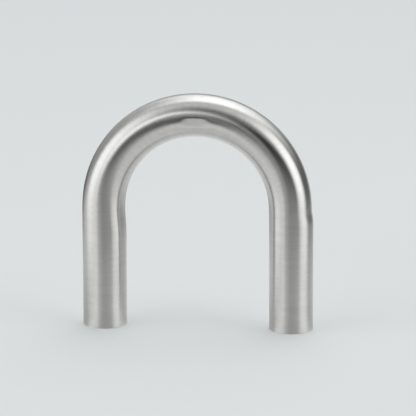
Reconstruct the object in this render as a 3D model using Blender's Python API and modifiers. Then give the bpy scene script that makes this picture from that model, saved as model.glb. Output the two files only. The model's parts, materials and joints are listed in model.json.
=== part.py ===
"""Exhaust U-bend: one length of round stainless tube, bent cold through half a turn.

It stands on its two square-cut ends. The origin is on the floor midway between
them, X runs across the legs, Y through the arch and Z up. Lengths are in metres.
"""

from math import atan2, cos, pi, radians, sin, sqrt

import bmesh
import bpy
from mathutils import Matrix, Vector

# The tube, and the outline that it is bent to.
TUBE_DIAMETER = 0.045  # outside
WALL = 0.0015
LEG_SPACING = 0.192  # between the centre lines of the legs
OVERALL_HEIGHT = 0.243  # from the cut ends to the top of the arch
BEND_EASE = 0.028  # length in which the curve sets in, half of it in the leg
RIM_CHAMFER = 0.0003  # deburring, inside and outside each cut end

# What bending does to the section. The bend ends on the left leg, where the
# wiper die leaves the inside flat, and starts at the clamp on the right leg,
# where the outside is flat. In between the flat passes from one to the other.
BEND_FLAT = 0.0014  # how much narrower the section is across the bend
SIDE_SWELL = 0.0003  # how far it swells out at the front and at the back
WIPER_RUN_OUT = 0.030  # left leg: length in which it comes back to round
CLAMP_RUN_OUT = 0.014  # right leg: the same
OUTER_WALL_LOSS = 0.12  # share of the wall that stretching takes outside
INNER_WALL_GAIN = 0.12  # share that crowding adds inside

# The shallow flat on the front of the crown.
CROWN_FLAT_DEPTH = 0.0007
CROWN_FLAT_LENGTH = 0.015  # at its full depth
CROWN_FLAT_FADE = 0.012  # beyond that, each way
CROWN_FLAT_TURN = radians(-8.5)  # the way it faces: 0 is straight out to the front

# How finely the tube is faceted.
SIDES = 40
BEND_STEPS = 36
RUN_OUT_STEPS = 6

STEEL_COLOUR = (0.56, 0.56, 0.55, 1.0)
STEEL_ROUGHNESS = 0.28

tube_radius = TUBE_DIAMETER / 2
leg_centre = LEG_SPACING / 2
# The ease sets the legs apart from the bend's circle, by ease_shift on each side.
bend_radius = (leg_centre + sqrt(leg_centre**2 - BEND_EASE**2 / 6)) / 2
ease_shift = leg_centre - bend_radius
crown_drop = BEND_FLAT / 2  # the outside takes half of the flattening there
leg_length = OVERALL_HEIGHT - bend_radius - tube_radius + crown_drop
bend_centre = Vector((0, 0, leg_length))


def clear_scene():
    for item in list(bpy.data.objects):
        bpy.data.objects.remove(item)


def steel():
    material = bpy.data.materials.new("brushed_stainless")
    material.use_nodes = True
    shader = material.node_tree.nodes["Principled BSDF"]
    shader.inputs["Base Color"].default_value = STEEL_COLOUR
    shader.inputs["Metallic"].default_value = 1.0
    shader.inputs["Roughness"].default_value = STEEL_ROUGHNESS
    return material


def smooth(share):
    """0 at 0 and below, 1 at 1 and above, level at both."""
    share = min(max(share, 0.0), 1.0)
    return share * share * (3 - 2 * share)


def extrude_leg(bm, ring, shifts):
    """Extrudes an open ring of edges along Z, once for each shift."""
    for shift in shifts:
        made = bmesh.ops.extrude_edge_only(bm, edges=ring)["geom"]
        points = {item for item in made if isinstance(item, bmesh.types.BMVert)}
        bmesh.ops.translate(bm, verts=list(points), vec=(0, 0, shift))
        ring = [
            item
            for item in made
            if isinstance(item, bmesh.types.BMEdge) and points.issuperset(item.verts)
        ]
    return ring


def round_skin():
    """The tube's outer surface as if the section had stayed round, as an open mesh."""
    bm = bmesh.new()
    foot = bmesh.ops.create_circle(
        bm, segments=SIDES, radius=tube_radius, matrix=Matrix.Translation((-bend_radius, 0, 0))
    )["verts"]
    ring = list({edge for point in foot for edge in point.link_edges})
    ring = extrude_leg(
        bm, ring, [leg_length - WIPER_RUN_OUT] + [WIPER_RUN_OUT / RUN_OUT_STEPS] * RUN_OUT_STEPS
    )
    arch = bmesh.ops.spin(bm, geom=ring, cent=bend_centre, axis=(0, 1, 0), angle=pi, steps=BEND_STEPS)
    ring = [item for item in arch["geom_last"] if isinstance(item, bmesh.types.BMEdge)]
    extrude_leg(
        bm, ring, [-CLAMP_RUN_OUT / RUN_OUT_STEPS] * RUN_OUT_STEPS + [CLAMP_RUN_OUT - leg_length]
    )
    bmesh.ops.recalc_face_normals(bm, faces=bm.faces)
    return bm


def section_at(point):
    """Centre of the section that a point lies in, the way out of the bend, and
    how far along the bend it is: 0 to 1, or metres before or past it."""
    if point.z > leg_length:
        along = atan2(point.z - leg_length, -point.x) / pi
        outwards = Vector((point.x, 0, point.z - leg_length)).normalized()
        return bend_centre + outwards * bend_radius, outwards, along, 0.0
    side = -1 if point.x < 0 else 1
    centre = Vector((side * bend_radius, 0, point.z))
    return centre, Vector((side, 0, 0)), (side + 1) / 2, leg_length - point.z


def ease_offset(past):
    """How far the centre line runs outside the bend's circle, or outside the line that
    touches it, at so many metres past the end of a leg. The curve sets in evenly."""
    bow = max(BEND_EASE / 2 - abs(past), 0) ** 3 / (6 * BEND_EASE * bend_radius)
    return bow if past > 0 else ease_shift - bow


def bent_amount(along, beyond):
    """1 in the bend, dying away to 0 along each leg."""
    run_out = WIPER_RUN_OUT if along < 0.5 else CLAMP_RUN_OUT
    return smooth(1 - beyond / run_out)


def crown_press(point, centre, outwards, along):
    """How far the flat on the crown moves a point."""
    facing = outwards * sin(CROWN_FLAT_TURN) - Vector((0, cos(CROWN_FLAT_TURN), 0))
    proud = (point - centre).dot(facing) - (tube_radius + SIDE_SWELL - CROWN_FLAT_DEPTH)
    past_flat = abs(along - 0.5) * pi * bend_radius - CROWN_FLAT_LENGTH / 2
    return facing * -max(proud, 0) * smooth(1 - past_flat / CROWN_FLAT_FADE)


def press_section(bm, wall):
    """Flattens and swells each section, sets it on the eased centre line, and notes
    its wall as a share of the thickest."""
    thickest = 1 + INNER_WALL_GAIN
    weights = bm.verts.layers.deform.verify()
    for point in bm.verts:
        centre, outwards, along, beyond = section_at(point.co)
        bent = bent_amount(along, beyond)
        reach = (point.co - centre).dot(outwards)
        flat = BEND_FLAT * bent * (along if reach > 0 else 1 - along)
        point.co -= outwards * reach * flat / tube_radius
        point.co.y *= 1 + SIDE_SWELL * bent / tube_radius
        point.co += crown_press(point.co, centre, outwards, along)
        past = min(along, 1 - along) * pi * bend_radius - beyond
        point.co += outwards * ease_offset(past)
        change = -OUTER_WALL_LOSS if reach > 0 else INNER_WALL_GAIN
        share = 1 + change * bent * abs(reach) / tube_radius
        point[weights][wall.index] = share / thickest


def make_tube(collection):
    mesh = bpy.data.meshes.new("tube")
    tube = bpy.data.objects.new("tube", mesh)
    collection.objects.link(tube)
    wall = tube.vertex_groups.new(name="wall")

    bm = round_skin()
    press_section(bm, wall)
    bm.to_mesh(mesh)
    bm.free()

    shell = tube.modifiers.new("wall", "SOLIDIFY")
    shell.thickness = WALL * (1 + INNER_WALL_GAIN)
    shell.offset = -1
    shell.use_even_offset = True
    shell.vertex_group = wall.name

    rims = tube.modifiers.new("deburred rims", "BEVEL")
    rims.width = RIM_CHAMFER
    rims.segments = 2
    rims.limit_method = "ANGLE"
    rims.angle_limit = pi / 4

    mesh.shade_smooth()
    mesh.materials.append(steel())
    return tube


def main():
    clear_scene()
    collection = bpy.data.collections.new("exhaust_u_bend")
    bpy.context.scene.collection.children.link(collection)
    make_tube(collection)


main()
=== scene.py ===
import json
from math import atan2, cos, hypot, pi, radians, sin, sqrt

import bpy
from mathutils import Euler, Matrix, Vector


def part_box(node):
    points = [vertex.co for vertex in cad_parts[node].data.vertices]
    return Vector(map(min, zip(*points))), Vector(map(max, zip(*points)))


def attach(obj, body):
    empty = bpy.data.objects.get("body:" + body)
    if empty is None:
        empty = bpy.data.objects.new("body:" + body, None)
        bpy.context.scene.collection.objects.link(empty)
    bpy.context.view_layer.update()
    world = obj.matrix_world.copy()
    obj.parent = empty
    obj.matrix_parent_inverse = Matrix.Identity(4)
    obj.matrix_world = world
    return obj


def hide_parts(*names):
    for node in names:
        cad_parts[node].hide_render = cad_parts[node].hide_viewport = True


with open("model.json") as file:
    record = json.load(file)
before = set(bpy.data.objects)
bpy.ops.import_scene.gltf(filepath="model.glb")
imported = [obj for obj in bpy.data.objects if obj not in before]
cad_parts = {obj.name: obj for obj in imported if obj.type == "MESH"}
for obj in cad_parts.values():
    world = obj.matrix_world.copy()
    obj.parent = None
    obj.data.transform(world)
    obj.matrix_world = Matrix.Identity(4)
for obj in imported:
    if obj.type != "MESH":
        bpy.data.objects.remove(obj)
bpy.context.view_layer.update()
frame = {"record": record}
print("frame loaded")

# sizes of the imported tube, which the look is built around
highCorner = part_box("tube")[1]
leftEnd = next(mount for mount in frame["record"]["mounts"] if mount["name"] == "left_end")
legCentre = -leftEnd["pos_m"][0]  # how far each leg stands from the middle
tubeRadius = highCorner.x - legCentre
wall = 2 * (tubeRadius + leftEnd["pos_m"][1])  # the mount lies at mid-wall
tubeHeight = highCorner.z

tubeSettings = {
    "sides": 96,
    "bendSteps": 120,
    "runOutSteps": 12,
    "ease": 0.028,  # length in which the curve sets in, half of it in the leg
    "flat": 0.0014,  # how much narrower the bend is than the tube
    "swell": 0.0003,  # how far its section stands out at the front and the back
    "leftRunOut": 0.030,  # leg length in which the flat inside dies away
    "rightRunOut": 0.014,  # the same for the flat outside
    "wallLoss": 0.12,  # outside the bend
    "wallGain": 0.12,  # inside it
    "crownFlatDepth": 0.0007,  # a shallow flat on the front of the crown
    "crownFlatLength": 0.015,  # at its full depth
    "crownFlatFade": 0.012,  # beyond that, each way
    "crownFlatTurn": radians(-8.5),  # the way it faces, 0 is straight out to the front
    "rimRound": 0.0003,
    "sharpAngle": 50,
}
# the ease sets the legs apart from the bend's circle
bendRadius = (legCentre + sqrt(legCentre**2 - tubeSettings["ease"] ** 2 / 6)) / 2
easeShift = legCentre - bendRadius
legLength = tubeHeight - bendRadius - tubeRadius + tubeSettings["flat"] / 2
bendCentre = Vector((0, 0, legLength))
tubeLength = 2 * legLength + pi * bendRadius


def deselectAll():
    bpy.ops.object.select_all(action="DESELECT")


def smoothStep(share):
    share = min(max(share, 0.0), 1.0)
    return share * share * (3 - 2 * share)


def sectionAt(point):
    # centre of the section that a point lies in, the way out of the bend, the length of
    # tube up to it, and how far below the bend it is
    if point.z > legLength:
        angle = atan2(point.z - legLength, -point.x)
        outwards = Vector((-cos(angle), 0, sin(angle)))
        return bendCentre + outwards * bendRadius, outwards, legLength + bendRadius * angle, 0.0
    if point.x < 0:
        return Vector((-bendRadius, 0, point.z)), Vector((-1, 0, 0)), point.z, legLength - point.z
    return (
        Vector((bendRadius, 0, point.z)),
        Vector((1, 0, 0)),
        tubeLength - point.z,
        legLength - point.z,
    )


def easeOffset(along, ease):
    # how far the centre line runs outside the bend's circle, or outside the line that
    # touches it, so far along the tube
    past = min(along, tubeLength - along) - legLength
    bow = max(ease / 2 - abs(past), 0) ** 3 / (6 * ease * bendRadius)
    return bow if past > 0 else easeShift - bow


def crownPress(point, centre, outwards, pastCrown, s):
    # how far the flat on the crown moves a point
    turn = s["crownFlatTurn"]
    facing = outwards * sin(turn) - Vector((0, cos(turn), 0))
    proud = (point - centre).dot(facing) - (tubeRadius + s["swell"] - s["crownFlatDepth"])
    pastFlat = pastCrown - s["crownFlatLength"] / 2
    return facing * -max(proud, 0) * smoothStep(1 - pastFlat / s["crownFlatFade"])


def extrudeRing(rises):
    for rise in rises:
        bpy.ops.mesh.extrude_edges_move(TRANSFORM_OT_translate={"value": (0, 0, rise)})


def addSkin(s):
    # a ring of edges drawn up the left leg, spun through the bend and down the right leg
    deselectAll()
    bpy.ops.mesh.primitive_circle_add(
        vertices=s["sides"], radius=tubeRadius, fill_type="NOTHING", location=(-bendRadius, 0, 0)
    )
    tube = bpy.context.object
    tube.name = "bentTube"
    bpy.ops.object.transform_apply(location=True, rotation=True, scale=True)
    bpy.ops.object.mode_set(mode="EDIT")
    bpy.ops.mesh.select_all(action="SELECT")
    steps = s["runOutSteps"]
    extrudeRing([legLength - s["leftRunOut"]] + [s["leftRunOut"] / steps] * steps)
    bpy.ops.mesh.spin(steps=s["bendSteps"], angle=pi, center=bendCentre, axis=(0, -1, 0))
    extrudeRing([-s["rightRunOut"] / steps] * steps + [s["rightRunOut"] - legLength])
    bpy.ops.mesh.select_all(action="SELECT")
    bpy.ops.mesh.remove_doubles(threshold=0.00001)
    bpy.ops.mesh.normals_make_consistent(inside=False)
    bpy.ops.object.mode_set(mode="OBJECT")
    return tube


def pressBend(tube, s):
    # the flat that bending leaves passes from the inside on the left to the outside on the right
    walls = tube.vertex_groups.new(name="wall")
    bendLength = pi * bendRadius
    for vertex in tube.data.vertices:
        centre, outwards, along, below = sectionAt(vertex.co)
        share = min(max((along - legLength) / bendLength, 0.0), 1.0)
        runOut = s["leftRunOut"] if share < 0.5 else s["rightRunOut"]
        bent = smoothStep(1 - below / runOut)
        reach = (vertex.co - centre).dot(outwards)
        flat = s["flat"] * bent * (share if reach > 0 else 1 - share)
        vertex.co -= outwards * reach * flat / tubeRadius
        vertex.co.y *= 1 + s["swell"] * bent / tubeRadius
        vertex.co += crownPress(vertex.co, centre, outwards, abs(share - 0.5) * bendLength, s)
        vertex.co += outwards * easeOffset(along, s["ease"])
        change = -s["wallLoss"] if reach > 0 else s["wallGain"]
        thickness = 1 + change * bent * abs(reach) / tubeRadius
        walls.add([vertex.index], thickness / (1 + s["wallGain"]), "REPLACE")


def applyModifier(kind, **values):
    bpy.ops.object.modifier_add(type=kind)
    modifier = bpy.context.object.modifiers[-1]
    for name, value in values.items():
        setattr(modifier, name, value)
    bpy.ops.object.modifier_apply(modifier=modifier.name)


def giveWall(tube, s):
    applyModifier(
        "SOLIDIFY",
        thickness=wall * (1 + s["wallGain"]),
        offset=-1,
        use_even_offset=True,
        vertex_group="wall",
        material_offset=1,
        material_offset_rim=1,
    )
    applyModifier(
        "BEVEL", width=s["rimRound"], segments=3, limit_method="ANGLE", angle_limit=radians(45)
    )
    bpy.ops.object.shade_smooth_by_angle(angle=radians(s["sharpAngle"]))
    tube.vertex_groups.clear()


def layGrain(tube, s):
    # where each point lies along and round the tube, for the marks of the brush
    mesh = tube.data
    places = []
    for vertex in mesh.vertices:
        centre, outwards, along = sectionAt(vertex.co)[:3]
        across = vertex.co - centre - outwards * easeOffset(along, s["ease"])
        reach = across.dot(outwards)
        places.append((along, hypot(reach, across.y), atan2(across.y, reach)))
    brushed = mesh.attributes.new("brushed", "FLOAT_VECTOR", "POINT")
    for item, (along, radius, turn) in zip(brushed.data, places):
        item.vector = (along, radius * cos(turn), radius * sin(turn))
    lengthwise = mesh.uv_layers.new(name="lengthwise")
    for face in mesh.polygons:
        first = places[face.vertices[0]][2]
        for loop in face.loop_indices:
            along, radius, turn = places[mesh.loops[loop].vertex_index]
            turn -= 2 * pi * round((turn - first) / (2 * pi))
            lengthwise.data[loop].uv = (along + radius / 2, turn * tubeRadius)


def addNode(tree, kind, label=None, **values):
    node = tree.nodes.new(kind)
    if label:
        node.label = label
    for name, value in values.items():
        setattr(node, name, value)
    return node


def addBlend(tree, share, first, second):
    blend = addNode(tree, "ShaderNodeMix")
    tree.links.new(share, blend.inputs["Factor"])
    for socket, value in (("A", first), ("B", second)):
        if isinstance(value, (int, float)):
            blend.inputs[socket].default_value = value
        else:
            tree.links.new(value, blend.inputs[socket])
    return blend.outputs["Result"]


def addMath(tree, operation, *values):
    # one step of arithmetic on numbers and on other nodes' results
    node = addNode(tree, "ShaderNodeMath", operation=operation)
    for socket, value in zip(node.inputs, values):
        if isinstance(value, (int, float)):
            socket.default_value = value
        else:
            tree.links.new(value, socket)
    return node.outputs[0]


def addSmoothRange(tree, value, low, high):
    ramp = addNode(tree, "ShaderNodeMapRange", interpolation_type="SMOOTHSTEP")
    ramp.inputs["From Min"].default_value = low
    ramp.inputs["From Max"].default_value = high
    tree.links.new(value, ramp.inputs["Value"])
    return ramp.outputs["Result"]


grainSettings = {
    "fineAlong": 1000,  # marks per metre along the tube
    "fineAround": 140,
    "coarseAlong": 260,
    "coarseAround": 26,
    "detail": 3.0,
    "coarseShare": 0.4,
}


def makeGrainGroup(s):
    # long marks that run round the tube, fine and coarse, as one tone
    tree = bpy.data.node_groups.new("brushGrain", "ShaderNodeTree")
    tree.interface.new_socket("Place", in_out="INPUT", socket_type="NodeSocketVector")
    tree.interface.new_socket("Tone", in_out="OUTPUT", socket_type="NodeSocketFloat")
    start = addNode(tree, "NodeGroupInput")
    end = addNode(tree, "NodeGroupOutput")
    noises = []
    for label, along, around in (
        ("fine marks", s["fineAlong"], s["fineAround"]),
        ("coarse marks", s["coarseAlong"], s["coarseAround"]),
    ):
        stretch = addNode(tree, "ShaderNodeMapping", label)
        stretch.inputs["Scale"].default_value = (along, around, around)
        noise = addNode(tree, "ShaderNodeTexNoise", label)
        noise.inputs["Scale"].default_value = 1.0
        noise.inputs["Detail"].default_value = s["detail"]
        tree.links.new(start.outputs["Place"], stretch.inputs["Vector"])
        tree.links.new(stretch.outputs["Vector"], noise.inputs["Vector"])
        noises.append(noise.outputs["Fac"])
    blend = addNode(tree, "ShaderNodeMix", "fine with coarse")
    blend.inputs["Factor"].default_value = s["coarseShare"]
    tree.links.new(noises[0], blend.inputs["A"])
    tree.links.new(noises[1], blend.inputs["B"])
    tree.links.new(blend.outputs["Result"], end.inputs["Tone"])
    return tree


steelSettings = {
    "dark": (0.48, 0.482, 0.465, 1),
    "light": (0.71, 0.71, 0.7, 1),
    "legRoughness": 0.28,
    "bendRoughness": 0.267,  # the bend is polished a little finer than the belt-brushed legs
    "polishStart": 0.01,  # how far below the bend the finer finish sets in
    "polishEnd": 0.035,  # how far above its start it is complete
    "streakRoughness": 0.03,
    "anisotropic": 1.0,
}


def makeBrushedSteel(s, grainGroup):
    material = bpy.data.materials.new("brushedStainless")
    material.use_nodes = True
    tree = material.node_tree
    shader = tree.nodes["Principled BSDF"]
    shader.inputs["Metallic"].default_value = 1.0
    shader.inputs["Anisotropic"].default_value = s["anisotropic"]
    place = addNode(tree, "ShaderNodeAttribute", attribute_name="brushed")
    grain = addNode(tree, "ShaderNodeGroup", node_tree=grainGroup)
    tree.links.new(place.outputs["Vector"], grain.inputs["Place"])
    colour = addNode(tree, "ShaderNodeMix", "steel tone", data_type="RGBA")
    colour.inputs["A"].default_value = s["dark"]
    colour.inputs["B"].default_value = s["light"]
    tree.links.new(grain.outputs["Tone"], colour.inputs["Factor"])
    tree.links.new(colour.outputs["Result"], shader.inputs["Base Color"])
    height = addNode(tree, "ShaderNodeSeparateXYZ")
    tree.links.new(addNode(tree, "ShaderNodeTexCoord").outputs["Object"], height.inputs[0])
    low, high = legLength - s["polishStart"], legLength + s["polishEnd"]
    bent = addSmoothRange(tree, height.outputs["Z"], low, high)
    smooth = addBlend(tree, bent, s["legRoughness"], s["bendRoughness"])
    rough = addMath(tree, "MULTIPLY_ADD", grain.outputs["Tone"], s["streakRoughness"], smooth)
    tree.links.new(rough, shader.inputs["Roughness"])
    lengthwise = addNode(tree, "ShaderNodeTangent", "along the tube", direction_type="UV_MAP")
    lengthwise.uv_map = "lengthwise"
    tree.links.new(lengthwise.outputs["Tangent"], shader.inputs["Tangent"])
    return material


grainGroup = makeGrainGroup(grainSettings)
brushedSteel = makeBrushedSteel(steelSettings, grainGroup)
print("steel made")

bentTube = addSkin(tubeSettings)
pressBend(bentTube, tubeSettings)
giveWall(bentTube, tubeSettings)
layGrain(bentTube, tubeSettings)
bentTube.data.materials.append(brushedSteel)
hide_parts("tube")
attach(bentTube, "root")
print("tube made:", len(bentTube.data.polygons), "faces")


def addFacing(tree, heading, turn):
    # how far a level heading points towards a side of the room
    facing = addNode(tree, "ShaderNodeVectorMath", operation="DOT_PRODUCT")
    facing.inputs[1].default_value = (sin(radians(turn)), -cos(radians(turn)), 0)
    tree.links.new(heading, facing.inputs[0])
    return facing.outputs["Value"]


def addPaintedGlow(tree, heading, s):
    # a painted glow that is strongest towards one side and dies away evenly from there
    front = addMath(tree, "MAXIMUM", addFacing(tree, heading, s["turn"]), 0.0)
    return addMath(tree, "MULTIPLY", addMath(tree, "POWER", front, s["narrow"]), s["level"])


def addPanel(tree, heading, height, s):
    # a softly lit panel on one side, between two heights of a direction
    most, least = s["half"] + s["soft"], max(s["half"] - s["soft"], 0)
    facing = addFacing(tree, heading, s["turn"])
    lit = addSmoothRange(tree, facing, cos(radians(most)), cos(radians(least)))
    for limit, way in (("low", 1), ("high", -1)):
        if limit in s:
            dim, full = s[limit] - way * s["edge"], s[limit] + way * s["edge"]
            edge = addSmoothRange(tree, height, sin(radians(dim)), sin(radians(full)))
            lit = addMath(tree, "MULTIPLY", lit, edge)
    return addMath(tree, "MULTIPLY", lit, s["level"])


def addLevelHeading(tree, place):
    level = addNode(tree, "ShaderNodeVectorMath", operation="MULTIPLY")
    level.inputs[1].default_value = (1, 1, 0)
    tree.links.new(place, level.inputs[0])
    heading = addNode(tree, "ShaderNodeVectorMath", operation="NORMALIZE")
    tree.links.new(level.outputs["Vector"], heading.inputs[0])
    return heading.outputs["Vector"]


def addUp(tree, parts):
    total = parts[0]
    for part in parts[1:]:
        total = addMath(tree, "ADD", total, part)
    return total


paleGrey = (0.686, 0.716, 0.724, 1)

floorSettings = {
    "size": 14.0,
    "paint": paleGrey,
    "roughness": 0.9,
    "even": 0.4,  # share of the floor's colour that needs no light, to the camera
    # painted light on the floor, which only the steel sees: how bright it is by the feet, further
    # out, and far away
    "close": 0.563,
    "middle": 0.944,
    "far": 0.0,
    "closeEnd": 0.39,  # metres from the nearer foot
    "farStart": 0.234,
    "farEnd": 0.749,
    # painted glows added towards a side, like pools of lamp light on the floor: "narrow" is a
    # power, and larger is narrower
    "closePaintedGlows": (
        {"turn": -36, "narrow": 13.5, "level": 0.313},
        {"turn": 62.9, "narrow": 7.3, "level": 0.383},
        {"turn": 160.9, "narrow": 2.07, "level": 0.252},
    ),
    "farPaintedGlows": (
        {"turn": -77.1, "narrow": 4.3, "level": 1.48},
        {"turn": 80.1, "narrow": 20, "level": 1.179},
        {"turn": 160.1, "narrow": 20, "level": 0.544},
    ),
}


def addNearestLeg(tree, place):
    # the place on the floor, measured from the foot that stands nearer
    parts = addNode(tree, "ShaderNodeSeparateXYZ")
    tree.links.new(place, parts.inputs[0])
    side = addMath(tree, "SIGN", parts.outputs["X"])
    whole = addNode(tree, "ShaderNodeCombineXYZ")
    tree.links.new(
        addMath(tree, "MULTIPLY_ADD", side, -legCentre, parts.outputs["X"]), whole.inputs["X"]
    )
    tree.links.new(parts.outputs["Y"], whole.inputs["Y"])
    return whole.outputs[0]


def addPaintedFloorLight(tree, s):
    # painted light on the floor: how bright each place on it is to the steel
    place = addNearestLeg(tree, addNode(tree, "ShaderNodeTexCoord").outputs["Object"])
    heading = addLevelHeading(tree, place)
    away = addNode(tree, "ShaderNodeVectorMath", operation="LENGTH")
    tree.links.new(place, away.inputs[0])
    close = addUp(tree, [addPaintedGlow(tree, heading, glow) for glow in s["closePaintedGlows"]] + [s["close"]])
    far = addUp(tree, [addPaintedGlow(tree, heading, glow) for glow in s["farPaintedGlows"]] + [s["far"]])
    closeFade = addSmoothRange(tree, away.outputs["Value"], 0, s["closeEnd"])
    farFade = addSmoothRange(tree, away.outputs["Value"], s["farStart"], s["farEnd"])
    return addBlend(tree, farFade, addBlend(tree, closeFade, close, s["middle"]), far)


def makeFloorPaintAndGlow(s):
    material = bpy.data.materials.new("paleFloorAndPaintedGlow")
    material.use_nodes = True
    material.cycles.emission_sampling = "NONE"
    tree = material.node_tree
    shader = tree.nodes["Principled BSDF"]
    shader.inputs["Base Color"].default_value = s["paint"]
    shader.inputs["Roughness"].default_value = s["roughness"]
    shader.inputs["Specular IOR Level"].default_value = 0.0
    rays = addNode(tree, "ShaderNodeLightPath")
    even = addNode(tree, "ShaderNodeEmission", "even tone")
    even.inputs["Color"].default_value = s["paint"]
    seen = addNode(tree, "ShaderNodeMixShader")
    evenShare = addMath(tree, "MULTIPLY", rays.outputs["Is Camera Ray"], s["even"])
    tree.links.new(evenShare, seen.inputs["Fac"])
    tree.links.new(shader.outputs[0], seen.inputs[1])
    tree.links.new(even.outputs[0], seen.inputs[2])
    # painted light and shade: to glossy rays the floor glows with a painted tone instead of
    # showing how the lamps light it
    paintedFloorGlow = addNode(tree, "ShaderNodeEmission", "as the steel sees it")
    tree.links.new(addPaintedFloorLight(tree, s), paintedFloorGlow.inputs["Strength"])
    both = addNode(tree, "ShaderNodeMixShader")
    tree.links.new(rays.outputs["Is Glossy Ray"], both.inputs["Fac"])
    tree.links.new(seen.outputs[0], both.inputs[1])
    tree.links.new(paintedFloorGlow.outputs[0], both.inputs[2])
    tree.links.new(both.outputs[0], tree.nodes["Material Output"].inputs["Surface"])
    return material


def addFloor(s):
    deselectAll()
    bpy.ops.mesh.primitive_plane_add(size=s["size"], location=(0, 0, 0))
    floor = bpy.context.object
    floor.name = "studioFloor"
    floor.data.materials.append(makeFloorPaintAndGlow(s))
    return floor


studioFloor = addFloor(floorSettings)

# softboxes by their direction from the tube: 0 is the front, 90 is the right. They light
# the floor and don't show in the steel, which mirrors the panels of the room instead.
softboxAway = 1.5
softboxes = {
    "rightSoftbox": {"turn": 74, "rise": 35, "wide": 1.2, "tall": 1.2, "glow": 0.28},
    "leftSoftbox": {"turn": -66, "rise": 35, "wide": 1.2, "tall": 1.2, "glow": 0.28},
    "topSoftbox": {"turn": 155, "rise": 70, "wide": 1.6, "tall": 1.6, "glow": 0.28},
}


def addSoftbox(name, s, centre):
    turn, rise = radians(s["turn"]), radians(s["rise"])
    away = Vector((sin(turn) * cos(rise), -cos(turn) * cos(rise), sin(rise)))
    deselectAll()
    bpy.ops.object.light_add(type="AREA", location=centre + away * softboxAway)
    light = bpy.context.object
    light.name = name
    light.rotation_euler = away.to_track_quat("Z", "Y").to_euler()
    light.data.shape = "RECTANGLE"
    light.data.size = s["wide"]
    light.data.size_y = s["tall"]
    light.data.energy = s["glow"] * pi * s["wide"] * s["tall"]
    light.visible_camera = False
    light.visible_glossy = False


for name, settings in softboxes.items():
    addSoftbox(name, settings, Vector((0, 0, tubeHeight / 2)))
print("lights set")

worldSettings = {
    "seen": paleGrey,  # to the camera
    "ceiling": 0.84,
    "ceilingStart": 0.712,  # heights of a direction, 1 is straight up
    "ceilingFull": 1.0,
}

# the panels of the room: half is half the width and soft how far that fades each way, low
# and high are heights that fade by edge, all in degrees, and a level of 1 is white. These,
# the ceiling and the painted light on the floor come from a fit to the brightness of the photo's
# steel.
panelSettings = {
    "right": {"turn": 75.8, "half": 6.7, "soft": 27.4, "high": 48, "edge": 11.3, "level": 2.049},
    "left": {"turn": -66.9, "half": 17.9, "soft": 19.8, "high": 58.8, "edge": 30, "level": 1.769},
    "strip": {"turn": -35.1, "half": 3, "soft": 9.1, "high": 31.2, "edge": 14.8, "level": 1.206},
    "window": {
        "turn": -22, "half": 8.5, "soft": 8.8, "low": 20, "high": 34, "edge": 7.7, "level": 1.951,
    },
    "top": {"turn": 156.5, "half": 16.7, "soft": 50.6, "low": 29.6, "edge": 18.2, "level": 1.457},
    "rear": {"turn": -150.2, "half": 53.8, "soft": 4, "level": 0.426},
}


def makeWorld(s, panels):
    world = bpy.data.worlds.new("studio")
    bpy.context.scene.world = world
    world.use_nodes = True
    tree = world.node_tree
    room = tree.nodes["Background"]
    place = addNode(tree, "ShaderNodeTexCoord").outputs["Generated"]
    parts = addNode(tree, "ShaderNodeSeparateXYZ")
    tree.links.new(place, parts.inputs[0])
    heading = addLevelHeading(tree, place)
    height = parts.outputs["Z"]
    ceiling = addSmoothRange(tree, height, s["ceilingStart"], s["ceilingFull"])
    lit = [addPanel(tree, heading, height, panel) for panel in panels.values()]
    lit.append(addMath(tree, "MULTIPLY", ceiling, s["ceiling"]))
    tree.links.new(addUp(tree, lit), room.inputs["Strength"])
    room.inputs["Color"].default_value = (1, 1, 1, 1)
    plain = addNode(tree, "ShaderNodeBackground")
    plain.inputs["Color"].default_value = s["seen"]
    rays = addNode(tree, "ShaderNodeLightPath")
    mix = addNode(tree, "ShaderNodeMixShader")
    tree.links.new(rays.outputs["Is Camera Ray"], mix.inputs["Fac"])
    tree.links.new(room.outputs[0], mix.inputs[1])
    tree.links.new(plain.outputs[0], mix.inputs[2])
    tree.links.new(mix.outputs[0], tree.nodes["World Output"].inputs["Surface"])


makeWorld(worldSettings, panelSettings)

cameraSettings = {
    "away": 4.0,
    "turn": 7.33,  # degrees to the right of the front
    "rise": 13.68,
    "roll": -0.17,
    "pixelsPerMetre": 981.7,  # at the tube
    "imagePixels": 416,
    "middlePixel": (197.53, 210.63),  # where the middle of the tube's height lands
    "sensorWidth": 36,
    "nearest": 0.05,
    "farthest": 60,
}


def addCamera(s):
    turn, rise = radians(s["turn"]), radians(s["rise"])
    back = Vector((sin(turn) * cos(rise), -cos(turn) * cos(rise), sin(rise)))
    middle = Vector((0, 0, tubeHeight / 2))
    place = middle + back * s["away"]
    rightwards = Vector((cos(turn), sin(turn), 0))
    upwards = back.cross(rightwards)
    centre = s["imagePixels"] / 2
    aim = middle
    aim = aim + rightwards * (centre - s["middlePixel"][0]) / s["pixelsPerMetre"]
    aim = aim + upwards * (s["middlePixel"][1] - centre) / s["pixelsPerMetre"]
    deselectAll()
    bpy.ops.object.camera_add(location=place)
    camera = bpy.context.object
    look = (aim - place).to_track_quat("-Z", "Y")
    camera.rotation_euler = (look @ Euler((0, 0, radians(s["roll"]))).to_quaternion()).to_euler()
    camera.data.sensor_width = s["sensorWidth"]
    camera.data.lens = s["pixelsPerMetre"] * s["away"] / s["imagePixels"] * s["sensorWidth"]
    camera.data.clip_start = s["nearest"]
    camera.data.clip_end = s["farthest"]
    bpy.context.scene.camera = camera


addCamera(cameraSettings)
bpy.context.scene.view_settings.view_transform = "Standard"
